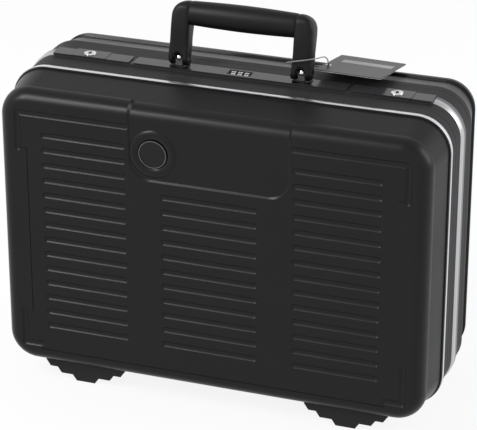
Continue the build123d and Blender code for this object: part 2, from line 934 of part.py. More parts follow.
# ---- hinges ------------------------------------------------------------------------------
def hinge_leaf(side, of_lid):
    """One leaf and its share of the knuckles."""
    pitch = hinge_length / hinge_knuckles
    away = -1 if of_lid else 1
    start = side * hinge_x - hinge_length / 2
    top = frame_bottom
    plate = block(
        start,
        start + hinge_length,
        split_y + away * (knuckle_radius + leaf_clear),
        split_y + away * leaf_reach,
        top - leaf_thick,
        top,
    )
    leaf = plate
    for index in range(hinge_knuckles):
        if (index % 2 == 1) != of_lid:
            continue
        x0 = start + index * pitch + (knuckle_gap / 2 if index else 0)
        x1 = start + (index + 1) * pitch - (knuckle_gap / 2 if index < hinge_knuckles - 1 else 0)
        leaf += rod(knuckle_radius, x0, x1, split_y, hinge_z)
        web_y = split_y + away * (knuckle_radius + 1)
        leaf += block(x0, x1, split_y, web_y, top - leaf_thick, hinge_z + knuckle_radius)
    bore = hinge_pin_radius + (pin_fit if of_lid else 0)
    leaf -= rod(bore, start - 1, start + hinge_length + 1, split_y, hinge_z)
    return leaf


def hinge_pin(side):
    start = side * hinge_x - hinge_length / 2
    return rod(hinge_pin_radius, start, start + hinge_length, split_y, hinge_z)


# ---- badge and tag -----------------------------------------------------------------------
def badge_ring():
    floor = front_face + panel_depth + badge_well_depth
    centre = Pos(badge_x, badge_z)
    ring = Circle(badge_ring_radius) - Circle(badge_disc_radius)
    return prism_along_y(centre * ring, floor - badge_ring_height, floor)


def badge_disc():
    floor = front_face + panel_depth + badge_well_depth
    disc = prism_along_y(
        Pos(badge_x, badge_z) * Circle(badge_disc_radius), floor - badge_disc_height, floor
    )
    return fillet(disc.faces().sort_by(Axis.Y)[0].edges(), 0.8)


def place_tag(shape):
    """Put something drawn with the tag's near left corner at the origin into its place."""
    corner = Pos(pivot_half + tag_beside, console_mid + tag_behind, pivot_z + tag_above)
    return corner * Rot(0, 0, tag_yaw) * Rot(tag_tilt, 0, 0) * shape


def tag_card():
    card = Pos(tag_width / 2, tag_length / 2, 0) * Box(tag_width, tag_length, tag_thick)
    card = fillet(card.edges().filter_by(Axis.Z), 1.5)
    eye = Pos(tag_eye_inset, tag_eye_up, 0) * Cylinder(tag_hole_radius, 4)
    return place_tag(card - eye)


def tag_eyelet():
    """A rolled eyelet gripping the card on both sides."""
    tall = tag_thick + 2 * tag_eye_lip
    body = Cylinder(tag_eye_radius, tall) - Cylinder(tag_eye_bore, tall + 1)
    body -= Cylinder(tag_eye_radius + 1, tag_thick) - Cylinder(tag_hole_radius, tag_thick)
    return place_tag(Pos(tag_eye_inset, tag_eye_up, 0) * body)


def string_path():
    """The string's centre line, in the handle's own upright frame about its pivots: out of
    the eyelet, forward past the right leg, round it and back."""
    out_x = pivot_half + leg_width / 2 + string_stand
    in_x = pivot_half - leg_width / 2 - string_stand
    reach = leg_thick / 2 + string_stand
    front = leg_thick / 2 + string_front_stand
    eye = place_tag(Pos(tag_eye_inset, tag_eye_up, 0)).position
    eye = (Rot(handle_lean, 0, 0) * Pos(0, -console_mid, -pivot_z) * Pos(eye)).position
    apart = string_radius + 0.02
    drop = tag_thick / 2
    points = [
        (eye.X - apart, eye.Y, eye.Z - drop),
        (eye.X - apart, eye.Y, eye.Z + 3.4),
        (eye.X + 0.4, eye.Y - 6.8, eye.Z + 7.2),
        (out_x + 0.8, 12.5, string_high + 0.6),
        (out_x, -front - 0.4, string_high),
        (in_x, -front, string_inside),
        (in_x, reach, string_inside_back),
        (out_x + 0.2, reach + 0.3, string_back),
        (eye.X + 1.6, eye.Y - 7.4, eye.Z + 4.4),
        (eye.X + apart, eye.Y, eye.Z + 3.0),
        (eye.X + apart, eye.Y, eye.Z - drop),
    ]
    round_leg = leg_edge_radius + string_stand
    limits = [string_slack] * 3 + [round_leg] * 4 + [string_slack] * 2
    return points, limits


def fold_radii(points, limits):
    """The largest round each fold of a polyline takes without crowding its neighbours."""
    radii = []
    for before, here, after, limit in zip(points, points[1:], points[2:], limits):
        back = Vector(*here) - Vector(*before)
        ahead = Vector(*after) - Vector(*here)
        half_turn = math.radians(back.get_angle(ahead)) / 2
        room = 0.45 * min(back.length, ahead.length) / math.tan(half_turn)
        radii.append(min(room, limit))
    return radii


def tag_string():
    points, limits = string_path()
    radii = fold_radii(points, limits)
    print("string radii, mm:", [round(radius, 1) for radius in radii])
    line = FilletPolyline(*points, radius=radii)
    section = Plane(line @ 0, z_dir=line % 0) * Circle(string_radius)
    return lean(sweep(section, path=line))


# ---- build -------------------------------------------------------------------------------
save({"front_shell": front_shell(), "back_shell": back_shell()})
save(
    {
        "lid_frame": lid_frame() - keeper_slots(),
        "base_frame": base_frame() - keeper_slots() - console_openings(),
        "lid_bead": lid_bead(),
        "base_trim": base_trim(),
    }
)
lid_foot = foot(lid_shell_depth)
base_foot = mirror(foot(base_shell_depth), about=Plane.XZ)
for side, word in ((-1, "left"), (1, "right")):
    save(
        {
            f"lid_foot_{word}": lid_foot if side > 0 else mirrored(lid_foot),
            f"base_foot_{word}": base_foot if side > 0 else mirrored(base_foot),
            f"lid_hinge_leaf_{word}": hinge_leaf(side, True),
            f"base_hinge_leaf_{word}": hinge_leaf(side, False),
            f"hinge_pin_{word}": hinge_pin(side),
            f"lock_plate_{word}": lock_plate(side),
            f"end_plate_{word}": end_plate(side),
            f"bolt_plate_{word}": slide_plate(side),
            f"bolt_bar_{word}": bolt_bar(side),
            f"keeper_{word}": keeper(side),
            f"key_cylinder_{word}": key_cylinder(side),
            f"lock_cam_{word}": lock_cam(side),
            f"handle_lug_{word}": handle_lug(side),
            f"handle_pin_{word}": lean(Pos(0, -console_mid, -pivot_z) * handle_pin(side)),
        }
    )
save(
    {
        "console_bed": console_bed(),
        "console_cover": console_cover(),
        "dial_cradle": dial_cradle(),
        "dial_axle": dial_axle(),
        "handle_bow": handle_bow(),
        "handle_grip": handle_grip(),
        "badge_ring": badge_ring(),
        "badge_disc": badge_disc(),
        "tag_card": tag_card(),
        "tag_eyelet": tag_eyelet(),
        "tag_string": tag_string(),
    }
)
save({f"dial_{index + 1}": dial(index) for index in range(dial_count)})
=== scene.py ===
import json
import math
import bpy
from mathutils import Matrix, Vector


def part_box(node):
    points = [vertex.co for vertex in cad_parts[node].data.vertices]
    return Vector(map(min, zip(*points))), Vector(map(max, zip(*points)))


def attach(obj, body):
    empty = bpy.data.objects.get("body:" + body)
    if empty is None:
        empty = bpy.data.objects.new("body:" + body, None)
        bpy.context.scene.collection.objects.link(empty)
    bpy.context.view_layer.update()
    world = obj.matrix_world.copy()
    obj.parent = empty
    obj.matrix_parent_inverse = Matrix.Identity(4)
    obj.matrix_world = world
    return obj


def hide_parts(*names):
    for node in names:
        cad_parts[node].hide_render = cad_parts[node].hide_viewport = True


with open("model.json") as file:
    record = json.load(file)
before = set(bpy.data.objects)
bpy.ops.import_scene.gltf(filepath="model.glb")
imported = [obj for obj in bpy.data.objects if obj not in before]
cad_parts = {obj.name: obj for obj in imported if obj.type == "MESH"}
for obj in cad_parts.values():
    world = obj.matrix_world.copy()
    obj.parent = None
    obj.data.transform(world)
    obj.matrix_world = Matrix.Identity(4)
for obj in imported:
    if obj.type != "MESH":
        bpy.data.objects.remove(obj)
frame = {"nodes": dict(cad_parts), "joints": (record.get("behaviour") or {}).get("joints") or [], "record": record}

nodes = frame["nodes"]
turnsAt = {joint["name"]: joint.get("pos_m") for joint in frame["joints"]}  # in metres
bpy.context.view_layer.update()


def mm(*values):  # millimetres to metres, for one number or for several
    scaled = [value / 1000 for value in values]
    return scaled[0] if len(scaled) == 1 else tuple(scaled)


def patternScale(size):  # how many times a pattern of this size in mm fits into a metre
    return 1000 / size


def linearColour(hexCode):  # sRGB hex to linear RGBA
    channels = [int(hexCode[i:i + 2], 16) / 255 for i in (1, 3, 5)]
    linear = [c / 12.92 if c <= 0.04045 else ((c + 0.055) / 1.055) ** 2.4 for c in channels]
    return (*linear, 1.0)


# settings go to the node's own properties, or else to its sockets, by name or by number
def addNode(tree, kind, settings=None, links=None):
    node = tree.nodes.new(kind)
    for name, value in (settings or {}).items():
        if isinstance(name, str) and hasattr(node, name):
            setattr(node, name, value)
        else:
            node.inputs[name].default_value = value
    for name, socket in (links or {}).items():
        tree.links.new(socket, node.inputs[name])
    return node


# sockets that share their names with others, so that they go by number
colourA, colourB, colourOut = 6, 7, 2  # the colours that a Mix node mixes, and what comes out
numberA, numberB = 2, 3  # the numbers that a Mix node mixes
shaderA, shaderB = 1, 2  # the shaders that a Mix Shader node mixes
firstIn, secondIn, thirdIn = 0, 1, 2  # what a Math or Vector Math node works with

noiseSpread = {"From Min": 0.3, "From Max": 0.7}  # noise seldom goes past these


def newMaterial(name):
    material = bpy.data.materials.new(name)
    material.use_nodes = True
    tree = material.node_tree
    tree.nodes.clear()
    place = addNode(tree, "ShaderNodeTexCoord").outputs["Object"]
    return material, tree, place


def finishMaterial(material, tree, shader):
    addNode(tree, "ShaderNodeOutputMaterial", links={"Surface": shader.outputs[0]})
    return material


# Black ABS from a spark-eroded mould has an even pebble grain and a low sheen. The real
# grain, about 0.3 mm, is drawn near 1 mm so that it shows. Flow and handling leave faint
# cloudy patches and a few paler scuffs.
mouldedAbs = {
    "colour": "#121214", "cloud": "#18181a", "scuff": "#2c2c2e",
    "specular": 0.19, "roughness": (0.3, 0.39),
    "grainSize": 1.0, "grainDepth": 0.035, "cloudSize": 60,
    "scuffSize": 9, "scuffLimit": (0.70, 0.82), "scuffStrength": 0.5,
}
footAbs = dict(
    mouldedAbs, colour="#1c1c1e", cloud="#242426", roughness=(0.46, 0.58), grainSize=1.4)


def makeMouldedAbs(name, look):
    material, tree, place = newMaterial(name)
    clouds = addNode(tree, "ShaderNodeTexNoise", {
        "Scale": patternScale(look["cloudSize"]), "Detail": 4.0, "Roughness": 0.6,
    }, {"Vector": place})
    grain = addNode(tree, "ShaderNodeTexNoise", {
        "Scale": patternScale(look["grainSize"]), "Detail": 2.0,
    }, {"Vector": place})
    rubs = addNode(tree, "ShaderNodeTexNoise", {
        "Scale": patternScale(look["scuffSize"]), "Detail": 8.0, "Roughness": 0.72,
    }, {"Vector": place})
    scuffMask = addNode(tree, "ShaderNodeMapRange", {
        "From Min": look["scuffLimit"][0], "From Max": look["scuffLimit"][1],
        "To Max": look["scuffStrength"],
    }, {"Value": rubs.outputs["Fac"]})
    tone = addNode(tree, "ShaderNodeMix", {
        "data_type": "RGBA",
        colourA: linearColour(look["colour"]), colourB: linearColour(look["cloud"]),
    }, {"Factor": clouds.outputs["Fac"]})
    worn = addNode(tree, "ShaderNodeMix", {
        "data_type": "RGBA", colourB: linearColour(look["scuff"]),
    }, {"Factor": scuffMask.outputs["Result"], colourA: tone.outputs[colourOut]})
    gloss = addNode(tree, "ShaderNodeMapRange", {
        **noiseSpread, "To Min": look["roughness"][0], "To Max": look["roughness"][1],
    }, {"Value": clouds.outputs["Fac"]})
    bump = addNode(tree, "ShaderNodeBump", {
        "Strength": 0.6, "Distance": mm(look["grainDepth"]),
    }, {"Height": grain.outputs["Fac"]})
    shader = addNode(tree, "ShaderNodeBsdfPrincipled", {
        "IOR": 1.52, "Specular IOR Level": look["specular"],
    }, {
        "Base Color": worn.outputs[colourOut], "Roughness": gloss.outputs["Result"],
        "Normal": bump.outputs["Normal"]})
    return finishMaterial(material, tree, shader)


# Extruded aluminium, anodised: the die draws fine lines along the extrusion. They run round
# the case, so the pattern is long in X and Z and short in Y. Real lines, about 0.1 mm
# apart, are drawn near 0.7 mm. A band of painted shade, where given, is a range of Y in mm.
blackAnodised = {
    "colour": "#303031", "streak": "#3c3c3d",
    "metallic": 0.55, "specular": 0.1, "roughness": (0.55, 0.7),
    "lineSpacing": 0.7, "lineLength": 150, "lineDepth": 0.012,
}
beadAnodised = {
    "colour": "#e6e7e9", "streak": "#d0d1d4",
    "metallic": 1.0, "specular": 0.5, "roughness": (0.24, 0.36),
    "lineSpacing": 0.8, "lineLength": 190, "lineDepth": 0.012,
    "shadeBand": (-40.5, -37.3), "paintedShade": "#232325",  # painted shade: the front strip of the bead is painted near-black
}
brightAnodised = {
    "colour": "#cfd0d2", "streak": "#a9aaad",
    "metallic": 1.0, "specular": 0.5, "roughness": (0.24, 0.38),
    "lineSpacing": 0.8, "lineLength": 190, "lineDepth": 0.012,
    "shadeBand": (8.2, 17.0), "paintedShade": "#6f6f72",  # painted shade: the back half of the trim is painted grey as shade on its rounded section
}


def makeExtrudedAluminium(name, look):
    material, tree, place = newMaterial(name)
    along, across = patternScale(look["lineLength"]), patternScale(look["lineSpacing"])
    stretched = addNode(tree, "ShaderNodeMapping", {
        "Scale": (along, across, along),
    }, {"Vector": place})
    lines = addNode(tree, "ShaderNodeTexNoise", {
        "Scale": 1.0, "Detail": 3.0, "Roughness": 0.55,
    }, {"Vector": stretched.outputs["Vector"]})
    tone = addNode(tree, "ShaderNodeMix", {
        "data_type": "RGBA",
        colourA: linearColour(look["colour"]), colourB: linearColour(look["streak"]),
    }, {"Factor": lines.outputs["Fac"]})
    # painted shade: a band of Y is darkened as shade on the rounded section, not as a colour of the metal
    if "shadeBand" in look:
        low, high = mm(*look["shadeBand"])
        parts = addNode(tree, "ShaderNodeSeparateXYZ", links={"Vector": place})
        band = addNode(tree, "ShaderNodeMath", {
            "operation": "COMPARE", secondIn: (low + high) / 2, thirdIn: (high - low) / 2,
        }, {firstIn: parts.outputs["Y"]})
        tone = addNode(tree, "ShaderNodeMix", {
            "data_type": "RGBA", colourB: linearColour(look["paintedShade"]),
        }, {"Factor": band.outputs[0], colourA: tone.outputs[colourOut]})
    gloss = addNode(tree, "ShaderNodeMapRange", {
        **noiseSpread, "To Min": look["roughness"][0], "To Max": look["roughness"][1],
    }, {"Value": lines.outputs["Fac"]})
    bump = addNode(tree, "ShaderNodeBump", {
        "Strength": 0.5, "Distance": mm(look["lineDepth"]),
    }, {"Height": lines.outputs["Fac"]})
    shader = addNode(tree, "ShaderNodeBsdfPrincipled", {
        "Metallic": look["metallic"], "Specular IOR Level": look["specular"],
    }, {
        "Base Color": tone.outputs[colourOut], "Roughness": gloss.outputs["Result"],
        "Normal": bump.outputs["Normal"]})
    return finishMaterial(material, tree, shader)


# A polished mould gives a clear gloss with a slow ripple, and hands leave fine wipe marks.
# Wipe marks of about 0.1 mm are drawn near 0.8 mm wide.
consoleAbs = {  # the glossiest of the mouldings
    "colour": "#29292b", "wiped": "#323234", "roughness": (0.17, 0.28), "specular": 0.4,
    "rippleSize": 14, "rippleDepth": 0.02, "wipeWidth": 0.8, "wipeLength": 30,
}
coverAbs = dict(  # the panel round the number wheels is matt, with painted shade near-black round the window
    consoleAbs, windowShadeFrom=(-12.8, -0.9), windowShadeTo=(11.3, 10.4), windowShade="#080808")
bedAbs = {  # satin, from a mould that was only smoothed
    "colour": "#2b2b2d", "wiped": "#333335", "roughness": (0.4, 0.5), "specular": 0.5,
    "rippleSize": 6, "rippleDepth": 0.01, "wipeWidth": 0.8, "wipeLength": 20,
}
handleVinyl = {  # soft vinyl is blacker and duller, and waves a little
    "colour": "#0f0f10", "wiped": "#151516", "roughness": (0.38, 0.5), "specular": 0.18,
    "rippleSize": 11, "rippleDepth": 0.03, "wipeWidth": 1.2, "wipeLength": 22,
}
badgeEnamel = {  # enamel flows out nearly as flat as a mirror
    "colour": "#0e0e10", "wiped": "#131315", "roughness": (0.08, 0.15), "specular": 0.25,
    "rippleSize": 9, "rippleDepth": 0.01, "wipeWidth": 0.8, "wipeLength": 12,
}
blackAcetal = {  # waxy, with hardly any gloss
    "colour": "#141414", "wiped": "#191919", "roughness": (0.34, 0.45), "specular": 0.4,
    "rippleSize": 4, "rippleDepth": 0.01, "wipeWidth": 0.8, "wipeLength": 8,
}
wipeTurn = (0.2, 0.3, 0.5)  # in radians, because nobody wipes quite straight


# 1 inside a rectangle of X and Y given by two corners in mm, and 0 outside it
def rectangleMask(tree, place, corner, farCorner):
    parts = addNode(tree, "ShaderNodeSeparateXYZ", links={"Vector": place})
    bands = []
    for axis, low, high in zip("XY", mm(*corner), mm(*farCorner)):
        band = addNode(tree, "ShaderNodeMath", {
            "operation": "COMPARE", secondIn: (low + high) / 2, thirdIn: (high - low) / 2,
        }, {firstIn: parts.outputs[axis]})
        bands.append(band.outputs[0])
    both = addNode(tree, "ShaderNodeMath", {
        "operation": "MULTIPLY",
    }, {firstIn: bands[0], secondIn: bands[1]})
    return both.outputs[0]


def makePolishedPlastic(name, look):
    material, tree, place = newMaterial(name)
    along, across = patternScale(look["wipeLength"]), patternScale(look["wipeWidth"])
    ripple = addNode(tree, "ShaderNodeTexNoise", {
        "Scale": patternScale(look["rippleSize"]), "Detail": 1.0,
    }, {"Vector": place})
    stretched = addNode(tree, "ShaderNodeMapping", {
        "Rotation": wipeTurn, "Scale": (along, across, across),
    }, {"Vector": place})
    wipes = addNode(tree, "ShaderNodeTexNoise", {
        "Scale": 1.0, "Detail": 4.0, "Roughness": 0.65,
    }, {"Vector": stretched.outputs["Vector"]})
    tone = addNode(tree, "ShaderNodeMix", {
        "data_type": "RGBA",
        colourA: linearColour(look["colour"]), colourB: linearColour(look["wiped"]),
    }, {"Factor": wipes.outputs["Fac"]})
    gloss = addNode(tree, "ShaderNodeMapRange", {
        **noiseSpread, "To Min": look["roughness"][0], "To Max": look["roughness"][1],
    }, {"Value": wipes.outputs["Fac"]})
    # painted shade: a rectangle of the cover round the wheel window is painted near-black and made matt, standing
    # in for the shadow in the window
    if "windowShade" in look:
        windowShadeMask = rectangleMask(tree, place, look["windowShadeFrom"], look["windowShadeTo"])
        tone = addNode(tree, "ShaderNodeMix", {
            "data_type": "RGBA", colourB: linearColour(look["windowShade"]),
        }, {"Factor": windowShadeMask, colourA: tone.outputs[colourOut]})
        gloss = addNode(tree, "ShaderNodeMapRange", {
            "To Max": 1.0,
        }, {"Value": windowShadeMask, "To Min": gloss.outputs["Result"]})
    bump = addNode(tree, "ShaderNodeBump", {
        "Strength": 0.5, "Distance": mm(look["rippleDepth"]),
    }, {"Height": ripple.outputs["Fac"]})
    shader = addNode(tree, "ShaderNodeBsdfPrincipled", {
        "IOR": 1.5, "Specular IOR Level": look["specular"],
    }, {
        "Base Color": tone.outputs[colourOut], "Roughness": gloss.outputs["Result"],
        "Normal": bump.outputs["Normal"]})
    return finishMaterial(material, tree, shader)


# Plated steel: chrome is nearly clear with a slight haze from polishing, and zinc shows a
# soft patchwork of crystals.
chromePlate = {
    "colour": "#e0e0e0", "patch": "#cfcfd0", "roughness": (0.06, 0.16),
    "patchSize": 3, "depth": 0.006,
}
darkChrome = dict(chromePlate, colour="#6a6a6c", patch="#5a5a5c", roughness=(0.1, 0.22))
zincPlate = {
    "colour": "#b4b5b8", "patch": "#8f9094", "roughness": (0.28, 0.46),
    "patchSize": 2.2, "depth": 0.01,
}


def makePlatedMetal(name, look):
    material, tree, place = newMaterial(name)
    patches = addNode(tree, "ShaderNodeTexVoronoi", {
        "Scale": patternScale(look["patchSize"]),
    }, {"Vector": place})
    haze = addNode(tree, "ShaderNodeTexNoise", {
        "Scale": patternScale(look["patchSize"]), "Detail": 4.0,
    }, {"Vector": place})
    tone = addNode(tree, "ShaderNodeMix", {
        "data_type": "RGBA",
        colourA: linearColour(look["colour"]), colourB: linearColour(look["patch"]),
    }, {"Factor": patches.outputs["Color"]})
    gloss = addNode(tree, "ShaderNodeMapRange", {
        **noiseSpread, "To Min": look["roughness"][0], "To Max": look["roughness"][1],
    }, {"Value": haze.outputs["Fac"]})
    bump = addNode(tree, "ShaderNodeBump", {
        "Strength": 0.4, "Distance": mm(look["depth"]),
    }, {"Height": haze.outputs["Fac"]})
    shader = addNode(tree, "ShaderNodeBsdfPrincipled", {"Metallic": 1.0}, {
        "Base Color": tone.outputs[colourOut], "Roughness": gloss.outputs["Result"],
        "Normal": bump.outputs["Normal"]})
    return finishMaterial(material, tree, shader)


# Each handle lug is polished steel, slightly hazy. Its base plate gets painted shadow, near-black and rough, as
# the shadow under the handle legs.
handleLug = {
    "colour": "#e0e0e0", "roughness": 0.12, "hazeSize": 2.5, "hazeDepth": 0.01,
    "paintedShade": "#141415", "paintedShadeRoughness": 0.5, "shadeBelow": 327.3,
}


def makeLugMetal(name, look):
    material, tree, place = newMaterial(name)
    parts = addNode(tree, "ShaderNodeSeparateXYZ", links={"Vector": place})
    low = addNode(tree, "ShaderNodeMath", {
        "operation": "LESS_THAN", secondIn: mm(look["shadeBelow"]),
    }, {firstIn: parts.outputs["Z"]})
    haze = addNode(tree, "ShaderNodeTexNoise", {
        "Scale": patternScale(look["hazeSize"]), "Detail": 4.0,
    }, {"Vector": place})
    # painted shadow: the low part of the lug is painted near-black as the shadow under the legs
    tone = addNode(tree, "ShaderNodeMix", {
        "data_type": "RGBA",
        colourA: linearColour(look["colour"]), colourB: linearColour(look["paintedShade"]),
    }, {"Factor": low.outputs[0]})
    gloss = addNode(tree, "ShaderNodeMapRange", {
        "To Min": look["roughness"], "To Max": look["paintedShadeRoughness"],
    }, {"Value": low.outputs[0]})
    bump = addNode(tree, "ShaderNodeBump", {
        "Strength": 0.3, "Distance": mm(look["hazeDepth"]),
    }, {"Height": haze.outputs["Fac"]})
    shader = addNode(tree, "ShaderNodeBsdfPrincipled", {"Metallic": 1.0}, {
        "Base Color": tone.outputs[colourOut], "Roughness": gloss.outputs["Result"],
        "Normal": bump.outputs["Normal"]})
    return finishMaterial(material, tree, shader)


# Each key barrel is turned chrome, with painted shade, near-black and matt, inside its slot
# and its keyway. The tool leaves fine rings about its axis, drawn 0.7 mm apart, twice
# ringWidth. The two barrels mirror each other, so a point on the left one is measured as if
# it were on the right one.
keyBarrel = {
    "colour": "#dcdcdd", "roughness": 0.16, "ringWidth": 0.35,
    "paintedShade": "#0b0b0c", "paintedShadeRoughness": 0.6,
    "shadeBelow": 327.2, "slotReach": 4.4, "keywayReach": 1.9,
}


def makeKeyMetal(name, look):
    material, tree, place = newMaterial(name)
    axisX, axisY = turnsAt["key_right_turn"][:2]
    parts = addNode(tree, "ShaderNodeSeparateXYZ", links={"Vector": place})
    side = addNode(tree, "ShaderNodeMath", {
        "operation": "ABSOLUTE",
    }, {firstIn: parts.outputs["X"]})
    flat = addNode(tree, "ShaderNodeCombineXYZ", links={
        "X": side.outputs[0], "Y": parts.outputs["Y"]})
    reach = addNode(tree, "ShaderNodeVectorMath", {
        "operation": "DISTANCE", secondIn: (axisX, axisY, 0),
    }, {firstIn: flat.outputs[0]})
    near = addNode(tree, "ShaderNodeMath", {
        "operation": "LESS_THAN", secondIn: mm(look["slotReach"]),
    }, {firstIn: reach.outputs["Value"]})
    low = addNode(tree, "ShaderNodeMath", {
        "operation": "LESS_THAN", secondIn: mm(look["shadeBelow"]),
    }, {firstIn: parts.outputs["Z"]})
    deep = addNode(tree, "ShaderNodeMath", {
        "operation": "MULTIPLY",
    }, {firstIn: near.outputs[0], secondIn: low.outputs[0]})
    keyway = addNode(tree, "ShaderNodeMath", {
        "operation": "LESS_THAN", secondIn: mm(look["keywayReach"]),
    }, {firstIn: reach.outputs["Value"]})
    slot = addNode(tree, "ShaderNodeMath", {
        "operation": "MAXIMUM",
    }, {firstIn: deep.outputs[0], secondIn: keyway.outputs[0]})
    rings = addNode(tree, "ShaderNodeMath", {
        "operation": "PINGPONG", secondIn: mm(look["ringWidth"]),
    }, {firstIn: reach.outputs["Value"]})
    # painted shade: inside the slot and the keyway the barrel is painted near-black, matt and not metal
    tone = addNode(tree, "ShaderNodeMix", {
        "data_type": "RGBA",
        colourA: linearColour(look["colour"]), colourB: linearColour(look["paintedShade"]),
    }, {"Factor": slot.outputs[0]})
    gloss = addNode(tree, "ShaderNodeMapRange", {
        "To Min": look["roughness"], "To Max": look["paintedShadeRoughness"],
    }, {"Value": slot.outputs[0]})
    bump = addNode(tree, "ShaderNodeBump", {
        "Strength": 0.3, "Distance": 1.0,
    }, {"Height": rings.outputs[0]})
    metal = addNode(tree, "ShaderNodeMapRange", {
        "To Min": 1.0, "To Max": 0.0,
    }, {"Value": slot.outputs[0]})
    shader = addNode(tree, "ShaderNodeBsdfPrincipled", links={
        "Base Color": tone.outputs[colourOut], "Metallic": metal.outputs["Result"],
        "Roughness": gloss.outputs["Result"], "Normal": bump.outputs["Normal"]})
    return finishMaterial(material, tree, shader)


# White acetal for the number wheels is waxy: a soft gloss over a little depth, greyed by
# handling. The lands that carry the figures are pale. The notches between them and the
# wheels' sides get painted shade, near-black, as the shade in the notches and between wheels.
whiteAcetal = {
    "colour": "#c9c9c5", "handled": "#9d9c97", "handledLimit": (0.45, 0.8),
    "paintedShade": "#131313", "roughness": (0.26, 0.4), "marbleSize": 2.5, "depth": 0.01,
    "landRadius": 5.2, "landHalf": 2.2,
}


def makeAcetal(name, look):
    material, tree, place = newMaterial(name)
    pitch, axleY, axleZ = turnsAt["wheel_3_turn"]  # from the middle wheel to the next one
    marble = addNode(tree, "ShaderNodeTexNoise", {
        "Scale": patternScale(look["marbleSize"]), "Detail": 5.0,
    }, {"Vector": place})
    dirt = addNode(tree, "ShaderNodeMapRange", {
        "From Min": look["handledLimit"][0], "From Max": look["handledLimit"][1],
    }, {"Value": marble.outputs["Fac"]})
    pale = addNode(tree, "ShaderNodeMix", {
        "data_type": "RGBA",
        colourA: linearColour(look["colour"]), colourB: linearColour(look["handled"]),
    }, {"Factor": dirt.outputs["Result"]})
    parts = addNode(tree, "ShaderNodeSeparateXYZ", links={"Vector": place})
    across = addNode(tree, "ShaderNodeCombineXYZ", links={
        "Y": parts.outputs["Y"], "Z": parts.outputs["Z"]})
    reach = addNode(tree, "ShaderNodeVectorMath", {
        "operation": "DISTANCE", secondIn: (0, axleY, axleZ),
    }, {firstIn: across.outputs[0]})
    # painted shade: the notches and the wheels' sides are painted near-black as shade
    inside = addNode(tree, "ShaderNodeMath", {
        "operation": "LESS_THAN", secondIn: mm(look["landRadius"]),
    }, {firstIn: reach.outputs["Value"]})
    along = addNode(tree, "ShaderNodeMath", {
        "operation": "PINGPONG", secondIn: pitch / 2,
    }, {firstIn: parts.outputs["X"]})
    side = addNode(tree, "ShaderNodeMath", {
        "operation": "GREATER_THAN", secondIn: mm(look["landHalf"]),
    }, {firstIn: along.outputs[0]})
    notchShade = addNode(tree, "ShaderNodeMath", {
        "operation": "MAXIMUM",
    }, {firstIn: inside.outputs[0], secondIn: side.outputs[0]})
    tone = addNode(tree, "ShaderNodeMix", {
        "data_type": "RGBA", colourB: linearColour(look["paintedShade"]),
    }, {"Factor": notchShade.outputs[0], colourA: pale.outputs[colourOut]})
    gloss = addNode(tree, "ShaderNodeMapRange", {
        "To Min": look["roughness"][0], "To Max": look["roughness"][1],
    }, {"Value": marble.outputs["Fac"]})
    bump = addNode(tree, "ShaderNodeBump", {
        "Strength": 0.3, "Distance": mm(look["depth"]),
    }, {"Height": marble.outputs["Fac"]})
    shader = addNode(tree, "ShaderNodeBsdfPrincipled", {"IOR": 1.48}, {
        "Base Color": tone.outputs[colourOut], "Roughness": gloss.outputs["Result"],
        "Normal": bump.outputs["Normal"]})
    return finishMaterial(material, tree, shader)


# The swing tag is printed board: fibres show faintly through a thin coat. Its face is dark
# with one pale bar, and its back is white. The pattern lies in the card's own frame, which
# starts at the card's near left corner.
swingTag = {
    "colour": "#29292b", "fibre": "#353538", "roughness": (0.38, 0.5),
    "fibreSize": 1.2, "fibreDepth": 0.02,
    "corner": (73.4, 11.0, 336.9), "tilt": -9.9, "yaw": -2.4,
    "bar": "#909092", "barFrom": (10, 49), "barTo": (62, 62),
    "back": "#e6e6e2", "backBelow": -0.3,
}


def makeCoatedCard(name, look):
    material, tree, place = newMaterial(name)
    turn = (math.radians(look["tilt"]), 0, math.radians(look["yaw"]))
    onCard = addNode(tree, "ShaderNodeMapping", {
        "vector_type": "TEXTURE", "Location": mm(*look["corner"]), "Rotation": turn,
    }, {"Vector": place}).outputs["Vector"]
    fibres = addNode(tree, "ShaderNodeTexNoise", {
        "Scale": patternScale(look["fibreSize"]), "Detail": 6.0, "Roughness": 0.7,
    }, {"Vector": onCard})
    tone = addNode(tree, "ShaderNodeMix", {
        "data_type": "RGBA",
        colourA: linearColour(look["colour"]), colourB: linearColour(look["fibre"]),
    }, {"Factor": fibres.outputs["Fac"]})
    parts = addNode(tree, "ShaderNodeSeparateXYZ", links={"Vector": onCard})
    under = addNode(tree, "ShaderNodeMath", {
        "operation": "LESS_THAN", secondIn: mm(look["backBelow"]),
    }, {firstIn: parts.outputs["Z"]})
    faced = addNode(tree, "ShaderNodeMix", {
        "data_type": "RGBA", colourB: linearColour(look["back"]),
    }, {"Factor": under.outputs[0], colourA: tone.outputs[colourOut]})
    bar = rectangleMask(tree, onCard, look["barFrom"], look["barTo"])
    barOnFace = addNode(tree, "ShaderNodeMath", {
        "operation": "SUBTRACT", "use_clamp": True,
    }, {firstIn: bar, secondIn: under.outputs[0]})
    printed = addNode(tree, "ShaderNodeMix", {
        "data_type": "RGBA", colourB: linearColour(look["bar"]),
    }, {"Factor": barOnFace.outputs[0], colourA: faced.outputs[colourOut]})
    gloss = addNode(tree, "ShaderNodeMapRange", {
        "To Min": look["roughness"][0], "To Max": look["roughness"][1],
    }, {"Value": fibres.outputs["Fac"]})
    bump = addNode(tree, "ShaderNodeBump", {
        "Strength": 0.4, "Distance": mm(look["fibreDepth"]),
    }, {"Height": fibres.outputs["Fac"]})
    shader = addNode(tree, "ShaderNodeBsdfPrincipled", {"IOR": 1.45}, {
        "Base Color": printed.outputs[colourOut], "Roughness": gloss.outputs["Result"],
        "Normal": bump.outputs["Normal"]})
    return finishMaterial(material, tree, shader)


